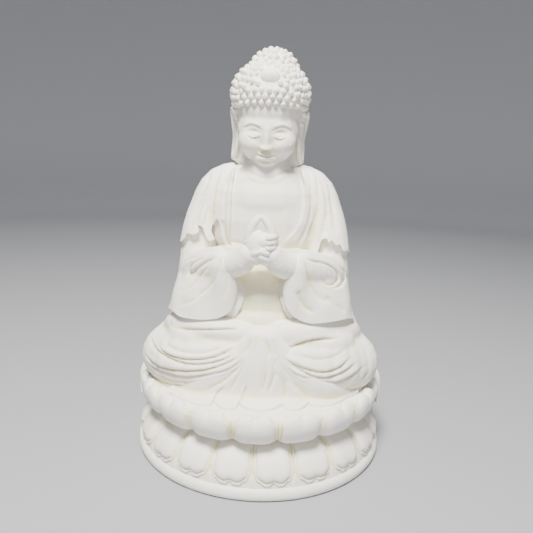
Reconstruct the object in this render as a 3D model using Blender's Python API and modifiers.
"""Seated devotional figure on a round double-lotus throne, as its separate castings.

Every casting is a named object. The castings are hollow, as slip casting or
rotational casting leaves them, and meet at luted seams with a small gap.
The figure faces -Y, its own left hand is at +X, and it rests on z = 0.
"""

import math

import bmesh
import bpy
from mathutils import Matrix, Vector

MM = 0.001

# Driving dimensions, in millimetres
SEAM = 0.35  # luting gap between two castings
WALL = 5.0  # thickness of a turned casting
PLINTH_R = 98.0
PLINTH_TOP = 9.0
LOWER_R = 95.5  # lower lotus at its foot
LOWER_TOP = 32.0
WAIST_R = 77.0
UPPER_FOOT = 38.0
UPPER_R = 91.0  # fullest radius of the upper lotus, between petals
DECK_TOP = 57.0
DECK_R = 84.0
LOWER_PETALS = 20
UPPER_PETALS = 18
TRAIN_ARC = 210.0  # degrees of the throne's rear that the robe's train covers
TRAIN_R = 97.5
FIGURE_TOP = 308.0
HEAD_TILT = 12.0  # degrees that the head bows
GLAZE_FREE_WHITE = (0.86, 0.84, 0.79, 1.0)


def clear_scene():
    for obj in list(bpy.data.objects):
        bpy.data.objects.remove(obj)


def collection(name):
    made = bpy.data.collections.new(name)
    bpy.context.scene.collection.children.link(made)
    return made


clear_scene()
STATUE = collection("buddha_statue")


def bisque(name):
    """Unglazed white body, dry to the touch."""
    made = bpy.data.materials.new(name + "_bisque")
    made.use_nodes = True
    shader = made.node_tree.nodes["Principled BSDF"]
    shader.inputs["Base Color"].default_value = GLAZE_FREE_WHITE
    shader.inputs["Roughness"].default_value = 0.62
    shader.inputs["Metallic"].default_value = 0.0
    return made


def add_object(name, mesh):
    obj = bpy.data.objects.new(name, mesh)
    STATUE.objects.link(obj)
    mesh.materials.clear()
    mesh.materials.append(bisque(name))
    mesh.shade_smooth()
    mesh.set_sharp_from_angle(angle=math.radians(40))
    return obj


def evaluated(obj):
    """The object's mesh with its modifiers, in world space; the object is removed."""
    bpy.context.view_layer.update()
    graph = bpy.context.evaluated_depsgraph_get()
    mesh = bpy.data.meshes.new_from_object(obj.evaluated_get(graph))
    mesh.transform(obj.matrix_world)
    bpy.data.objects.remove(obj)
    return mesh


# ---------------------------------------------------------------- turned castings


def turned_mesh(profile, steps, degrees=360.0):
    """A closed profile of (radius, height) points in mm, turned about Z."""
    mesh = bpy.data.meshes.new("profile")
    points = [(r * MM, 0, z * MM) for r, z in profile]
    edges = [(i, (i + 1) % len(points)) for i in range(len(points))]
    mesh.from_pydata(points, edges, [])
    obj = bpy.data.objects.new("profile", mesh)
    STATUE.objects.link(obj)
    screw = obj.modifiers.new("turn", "SCREW")
    screw.angle = math.radians(degrees)
    screw.steps = screw.render_steps = steps
    screw.use_merge_vertices = degrees == 360.0
    screw.merge_threshold = 0.00005
    made = evaluated(obj)
    shape = bmesh.new()
    shape.from_mesh(made)
    open_edges = [e for e in shape.edges if e.is_boundary]
    bmesh.ops.holes_fill(shape, edges=open_edges, sides=0)
    bmesh.ops.recalc_face_normals(shape, faces=shape.faces)
    if shape.calc_volume(signed=True) < 0:
        bmesh.ops.reverse_faces(shape, faces=shape.faces)
    shape.to_mesh(made)
    shape.free()
    return made


def arc(centre, radius, start, end, count):
    """Points of an arc from start to end degrees, with separate r and z radii."""
    turns = [math.radians(start + (end - start) * i / (count - 1)) for i in range(count)]
    return [
        (centre[0] + radius[0] * math.cos(t), centre[1] + radius[1] * math.sin(t))
        for t in turns
    ]


def petal_ring(mesh, petals, depth, lift, low, high, turn=0.0):
    """Swells a turned ring into petals: full at each middle, pinched between."""
    for vertex in mesh.vertices:
        x, y, z = vertex.co / MM
        radius = math.hypot(x, y)
        height = min(1.0, max(0.0, (z - low) / (high - low)))
        if radius < DECK_R + SEAM:
            continue
        across = (math.degrees(math.atan2(x, -y)) - turn) * petals / 360
        across = abs(across - round(across)) * 2
        swell = 1 - across**2.5
        belly = math.sin(math.pi * (0.15 + 0.7 * height))
        radius_now = radius + depth * swell * belly
        vertex.co.x *= radius_now / radius
        vertex.co.y *= radius_now / radius
        vertex.co.z += lift * swell * height**3 * MM


def make_plinth():
    edge = arc((PLINTH_R - 4.5, 4.5), (4.5, 4.5), 90, -60, 5)
    inner = PLINTH_R - 15
    profile = [(inner, PLINTH_TOP)] + edge + [(PLINTH_R - 6, 0), (inner, 0)]
    add_object("plinth", turned_mesh(profile, 48))


def make_lower_lotus():
    foot = PLINTH_TOP + SEAM
    outer = arc((78, foot), (LOWER_R - 78, LOWER_TOP - foot), 0, 90, 5)
    inner = [(78 - WALL, LOWER_TOP), (80, foot + 6), (LOWER_R - WALL - 2, foot)]
    mesh = turned_mesh(inner + outer, LOWER_PETALS * 4)
    petal_ring(mesh, LOWER_PETALS, 2.4, 0.0, foot, LOWER_TOP)
    add_object("lower_lotus", mesh)


def make_waist():
    low, high = LOWER_TOP + SEAM, UPPER_FOOT - SEAM
    profile = [(WAIST_R - WALL, low), (WAIST_R, low), (WAIST_R - 1, (low + high) / 2)]
    profile += [(WAIST_R, high), (WAIST_R - WALL, high)]
    add_object("lotus_waist", turned_mesh(profile, 40))


def make_upper_lotus():
    outer = arc((78, 49), (UPPER_R - 78, 11), -90, 25, 5)
    rim = [(DECK_R + 3, DECK_TOP), (DECK_R + SEAM, DECK_TOP - 1)]
    inner = [(DECK_R + SEAM, 50.5), (82, 50.5), (74, 42), (73, UPPER_FOOT)]
    mesh = turned_mesh(outer + rim + inner, UPPER_PETALS * 4)
    petal_ring(mesh, UPPER_PETALS, 2.4, 0.0, UPPER_FOOT, DECK_TOP)
    add_object("upper_lotus", mesh)


def make_deck():
    """The seat closes the throne and carries the figure; its hole is the vent."""
    vent = 24.0
    low = 50.5 + SEAM
    profile = [(vent, DECK_TOP), (DECK_R, DECK_TOP), (DECK_R, low), (vent, low)]
    add_object("seat_deck", turned_mesh(profile, 48))


def make_train():
    """The robe's rear hem: it lies on the seat and hangs over the throne's back."""
    top = DECK_TOP + SEAM
    inside = UPPER_R + 2.4 + SEAM
    outside = [(TRAIN_R, UPPER_FOOT), (TRAIN_R, top + 2), (TRAIN_R - 4, top + 5)]
    under = [(70, top + 9), (50, top + 9), (50, top), (inside, top), (inside, UPPER_FOOT)]
    mesh = turned_mesh(outside + under, 30, TRAIN_ARC)
    middle = 90 - TRAIN_ARC / 2
    mesh.transform(Matrix.Rotation(math.radians(middle), 4, "Z"))
    add_object("robe_train", mesh)


# ---------------------------------------------------------------- modelled castings


def unit_ball():
    shape = bmesh.new()
    bmesh.ops.create_uvsphere(shape, u_segments=16, v_segments=10, radius=1)
    mesh = bpy.data.meshes.new("ball")
    shape.to_mesh(mesh)
    shape.free()
    return mesh


class Clay:
    """Lumps pressed together into one closed form, as in a clay model."""

    def __init__(self):
        self.shape = bmesh.new()

    def ball(self, centre, radii):
        lump = BALL.copy()
        lump.transform(Matrix.LocRotScale(Vector(centre) * MM, None, Vector(radii) * MM))
        self.shape.from_mesh(lump)
        bpy.data.meshes.remove(lump)
        return self

    def limb(self, *joints):
        """Joints are (x, y, z, radius); the limb tapers between them."""
        for start, end in zip(joints, joints[1:]):
            start, end = Vector(start), Vector(end)
            length = (end.xyz - start.xyz).length
            count = max(2, round(length / (0.4 * min(start.w, end.w))) + 1)
            for i in range(count):
                here = start.lerp(end, i / (count - 1))
                self.ball(here.xyz, (here.w,) * 3)
        return self

    def fused(self, voxel, triangles, smooth=6):
        """One skin over all the lumps, thinned to about that many triangles."""
        mesh = bpy.data.meshes.new("clay")
        self.shape.to_mesh(mesh)
        self.shape.free()
        obj = bpy.data.objects.new("clay", mesh)
        STATUE.objects.link(obj)
        remesh = obj.modifiers.new("skin", "REMESH")
        remesh.mode = "VOXEL"
        remesh.voxel_size = voxel * MM
        soften = obj.modifiers.new("soften", "SMOOTH")
        soften.iterations = smooth
        skin = evaluated(obj)
        obj = bpy.data.objects.new("skin", skin)
        STATUE.objects.link(obj)
        thin = obj.modifiers.new("thin", "DECIMATE")
        thin.ratio = min(1.0, triangles / (2 * len(skin.polygons)))
        return evaluated(obj)


def sliced(mesh, point, normal):
    """The mesh with all that lies beyond a plane cut away, and capped."""
    shape = bmesh.new()
    shape.from_mesh(mesh)
    cut = bmesh.ops.bisect_plane(
        shape,
        geom=shape.verts[:] + shape.edges[:] + shape.faces[:],
        plane_co=Vector(point) * MM,
        plane_no=Vector(normal),
        clear_outer=True,
    )
    rim = [e for e in cut["geom_cut"] if isinstance(e, bmesh.types.BMEdge)]
    bmesh.ops.holes_fill(shape, edges=rim, sides=0)
    bmesh.ops.triangulate(shape, faces=[f for f in shape.faces if len(f.verts) > 4])
    bmesh.ops.recalc_face_normals(shape, faces=shape.faces)
    shape.to_mesh(mesh)
    shape.free()
    return mesh


def swollen(obj, by):
    """A cutter: the object's own form, grown by a distance in mm."""
    shape = bmesh.new()
    shape.from_mesh(obj.data)
    shape.normal_update()
    moves = [v.normal * by * MM for v in shape.verts]
    for vertex, move in zip(shape.verts, moves):
        vertex.co += move
    mesh = bpy.data.meshes.new("cutter")
    shape.to_mesh(mesh)
    shape.free()
    return mesh


def largest_body(mesh):
    """The mesh's biggest closed body, without the crumbs that a cut can leave."""
    shape = bmesh.new()
    shape.from_mesh(mesh)
    shape.faces.ensure_lookup_table()
    seen, bodies = set(), []
    for face in shape.faces:
        if face in seen:
            continue
        body, reached = [], [face]
        seen.add(face)
        while reached:
            here = reached.pop()
            body.append(here)
            near = {f for e in here.edges for f in e.link_faces} - seen
            seen |= near
            reached += near
        bodies.append(body)
    keep = max(bodies, key=lambda faces: sum(f.calc_area() for f in faces))
    spare = [f for faces in bodies if faces is not keep for f in faces]
    bmesh.ops.delete(shape, geom=spare, context="FACES")
    shape.to_mesh(mesh)
    shape.free()
    return mesh


def cut_by(mesh, cutters):
    """The mesh less each cutter mesh."""
    obj = bpy.data.objects.new("blank", mesh)
    STATUE.objects.link(obj)
    tools = []
    for cutter in cutters:
        tool = bpy.data.objects.new("tool", cutter)
        STATUE.objects.link(tool)
        tool.hide_render = True
        tools.append(tool)
        cut = obj.modifiers.new("cut", "BOOLEAN")
        cut.operation = "DIFFERENCE"
        cut.solver = "EXACT"
        cut.object = tool
    made = evaluated(obj)
    for tool in tools:
        bpy.data.objects.remove(tool)
    return largest_body(made)


def cast(name, mesh, *neighbours, hollow=()):
    """Adds a casting, cut clear of the neighbours named and hollowed out."""
    cutters = [swollen(bpy.data.objects[n], SEAM) for n in neighbours] + list(hollow)
    add_object(name, cut_by(mesh, cutters) if cutters else mesh)


def cone(centre, low_r, high_r, low, high, squash=1.0):
    """A tapered, upright core that leaves a casting hollow."""
    shape = bmesh.new()
    middle = Vector((centre[0], centre[1], (low + high) / 2)) * MM
    bmesh.ops.create_cone(
        shape,
        cap_ends=True,
        segments=24,
        radius1=low_r * MM,
        radius2=high_r * MM,
        depth=(high - low) * MM,
        matrix=Matrix.Translation(middle) @ Matrix.Diagonal((1, squash, 1, 1)),
    )
    mesh = bpy.data.meshes.new("core")
    shape.to_mesh(mesh)
    shape.free()
    return mesh


def both_sides(points, side):
    """Joint or lump coordinates for one side: -1 its right, 1 its left."""
    return [(p[0] * side, *p[1:]) for p in points]


BALL = unit_ball()
SIDES = (("right", -1), ("left", 1))


def make_lap():
    """Crossed legs under the robe, open underneath."""
    clay = Clay().ball((0, 14, 82), (66, 50, 34)).ball((0, -34, 78), (52, 34, 26))
    for _, side in SIDES:
        thigh = [(24, 18, 90, 24), (56, -4, 86, 24), (70, -20, 80, 22)]
        shin = [(70, -24, 78, 21), (46, -42, 79, 22), (0, -48, 82, 22)]
        clay.limb(*both_sides(thigh, side)).limb(*both_sides(shin, side))
    mesh = clay.fused(3.0, 1000)
    mesh = sliced(mesh, (0, 0, DECK_TOP + SEAM), (0, 0, -1))
    cavity = cone((0, 6), 46, 30, DECK_TOP - 5, 92, 0.8)
    cast("lap", mesh, "robe_train", hollow=[cavity])


def make_skirt_fan():
    """Pleated cloth that falls between the shins and spreads over the seat."""
    clay = Clay()
    for i in range(-5, 6):
        reach = 71 - 0.8 * abs(i) ** 1.6
        pleat = [(i * 1.5, -62, 98, 5), (i * 4.5, -66, 80, 7), (i * 9, -reach, 62, 4.5)]
        clay.limb(*pleat)
        clay.limb((i * 9, -reach, 61, 4.2), (i * 9, -48, 62, 6))
    mesh = clay.fused(2.0, 500)
    mesh = sliced(mesh, (0, 0, DECK_TOP + SEAM), (0, 0, -1))
    cast("skirt_fan", mesh, "lap")


def make_torso():
    """Bare chest and belly, with the neck's tenon on top."""
    clay = Clay().ball((0, -2, 178), (44, 32, 34)).ball((0, -3, 134), (38, 36, 32))
    clay.limb((-30, 4, 198, 15), (30, 4, 198, 15))
    clay.limb((0, 0, 205, 16), (0, -3, 224, 13))
    mesh = clay.fused(2.8, 640)
    mesh = sliced(mesh, (0, 0, 110), (0, 0, -1))
    mesh = sliced(mesh, (0, 0, 222), (0, 0, 1))
    cavity = cone((0, 0), 26, 17, 105, 200, 0.8)
    cast("torso", mesh, "lap", hollow=[cavity])


def make_belly_dress():
    clay = Clay().ball((0, -22, 122), (31, 24, 24))
    mesh = sliced(clay.fused(2.2, 320), (0, 0, 136), (0, 0.25, 1))
    cast("inner_skirt", mesh, "lap", "torso", "skirt_fan")
    clay = Clay()
    turn = [math.radians(a) for a in range(-70, 71, 10)]
    band = [(32 * math.sin(a), 4 - 42 * math.cos(a), 139.5, 3.2) for a in turn]
    mesh = clay.limb(*band).fused(1.3, 300)
    cast("sash", mesh, "torso", "inner_skirt")


def make_mantle():
    """The robe over the back and both shoulders."""
    clay = Clay().ball((0, 18, 168), (58, 24, 54)).ball((0, 26, 104), (60, 28, 50))
    clay.ball((0, 22, 136), (58, 24, 40)).limb((0, 14, 214, 15), (0, 12, 222, 13))
    clay.limb((-44, 6, 196, 18), (0, 14, 206, 18), (44, 6, 196, 18))
    mesh = clay.fused(3.0, 700)
    mesh = sliced(mesh, (0, 2, 0), (0, -1, 0))
    mesh = sliced(mesh, (0, 0, DECK_TOP + 5), (0, 0, -1))
    cast("robe_back", mesh, "torso", "lap", "robe_train")
    for name, side in SIDES:
        clay = Clay()
        outer = [(30, -8, 212, 10), (46, -6, 202, 13), (53, -6, 184, 13)]
        clay.limb(*both_sides(outer + [(57, -8, 162, 11)], side))
        panel = [(30, -14, 208, 8), (34, -28, 190, 7), (36, -33, 168, 7)]
        clay.limb(*both_sides(panel + [(33, -34, 146, 6)], side))
        clay.limb(*both_sides([(46, -16, 196, 9), (48, -20, 172, 9)], side))
        mesh = sliced(clay.fused(2.0, 460), (0, 2 - SEAM, 0), (0, 1, 0))
        cast("shoulder_drape_" + name, mesh, "torso")


def make_arms():
    for name, side in SIDES:
        drape = "shoulder_drape_" + name
        upper = [(55, -2, 158, 12), (56, -3, 140, 13), (55, -6, 126, 12)]
        mesh = Clay().limb(*both_sides(upper, side)).fused(2.0, 240)
        around = (drape, "torso", "lap", "robe_back")
        cast("upper_arm_" + name, mesh, *around)
        clay = Clay()
        forearm = [(57, -16, 128, 11), (44, -38, 136, 11), (27, -51, 146, 9)]
        clay.limb(*both_sides(forearm, side))
        for x, y, bottom in ((58, -26, 114), (48, -40, 118), (36, -50, 118), (24, -54, 121)):
            hang = [(x, y + 4, 130, 9), (x, y, bottom, 7)]
            clay.limb(*both_sides(hang, side))
        mesh = clay.fused(2.0, 520)
        around = ("upper_arm_" + name, drape, "torso", "lap", "inner_skirt", "sash")
        cast("sleeve_" + name, mesh, *around)


def make_hands():
    for name, side in SIDES:
        clay = Clay().limb(*both_sides([(28, -50, 145, 7), (8, -61, 158, 8)], side))
        mesh = sliced(clay.fused(1.2, 160), (side * SEAM / 2, 0, 0), (-side, 0, 0))
        cast("wrist_" + name, mesh, "sleeve_" + name, "torso")
        clay = Clay().ball((side * 4.5, -65, 167), (6.2, 6, 11))
        clay.limb(*both_sides([(5, -66, 172, 5), (5, -67, 162, 5)], side))
        mesh = sliced(clay.fused(0.9, 220), (side * SEAM / 2, 0, 0), (-side, 0, 0))
        cast("hand_" + name, mesh, "wrist_" + name)
        finger = [(7.5, -64.5, 174, 2.6), (6, -64, 180, 2.4), (2.2, -63.5, 187, 2.2)]
        mesh = Clay().limb(*both_sides(finger, side)).fused(0.6, 110, 2)
        mesh = sliced(mesh, (side * SEAM / 2, 0, 0), (-side, 0, 0))
        cast("index_finger_" + name, mesh, "hand_" + name)


def tilted(mesh):
    """Bows a head casting about the top of the neck."""
    neck = Vector((0, 0, 226)) * MM
    bow = Matrix.Translation(neck) @ Matrix.Rotation(math.radians(HEAD_TILT), 4, "X")
    mesh.transform(bow @ Matrix.Translation(-neck))
    return mesh


def make_head():
    """Head and neck, whose socket drops over the torso's tenon."""
    clay = Clay().ball((0, -6, 257), (24, 27, 28)).ball((0, -14, 238), (19, 18, 17))
    clay.limb((0, 2, 240, 15), (0, 2, 226, 14))
    clay.limb((0, -31, 255, 2.2), (0, -33.5, 245, 3.4)).ball((0, -29, 236), (7, 4, 3.5))
    mesh = sliced(tilted(clay.fused(1.4, 700, 3)), (0, 0, 221), (0, 0, -1))
    cavity = cone((0, -4), 9, 15, 215, 262)
    cast("head", mesh, "torso", "robe_back", hollow=[cavity])
    clay = Clay().ball((0, 2, 266), (30, 29, 25)).limb((0, 12, 262, 22), (0, 14, 246, 18))
    mesh = tilted(sliced(clay.fused(2.0, 560), (0, -16, 262), (0, -1, -1.1)))
    cast("hair_cap", mesh, "head", "robe_back", "torso")
    mesh = tilted(Clay().ball((0, 6, 290), (20, 19, 19)).fused(1.8, 300))
    cast("ushnisha", mesh, "hair_cap", "head")
    mesh = tilted(Clay().ball((0, -15, 288), (6.5, 4, 5.5)).fused(0.9, 140, 2))
    cast("crown_jewel", mesh, "ushnisha", "hair_cap")
    for name, side in SIDES:
        ear = [(26, 2, 258, 4), (27, 1, 246, 3.6), (26.5, 2, 232, 3.2), (26, 3, 224, 3.4)]
        mesh = Clay().limb(*both_sides(ear, side)).fused(0.9, 150, 2)
        drape = "shoulder_drape_" + name
        cast("ear_" + name, mesh, "head", "hair_cap", drape, "torso", "robe_back")


make_plinth()
make_lower_lotus()
make_waist()
make_upper_lotus()
make_deck()
make_train()
make_lap()
make_skirt_fan()
make_torso()
make_belly_dress()
make_mantle()
make_arms()
make_hands()
make_head()
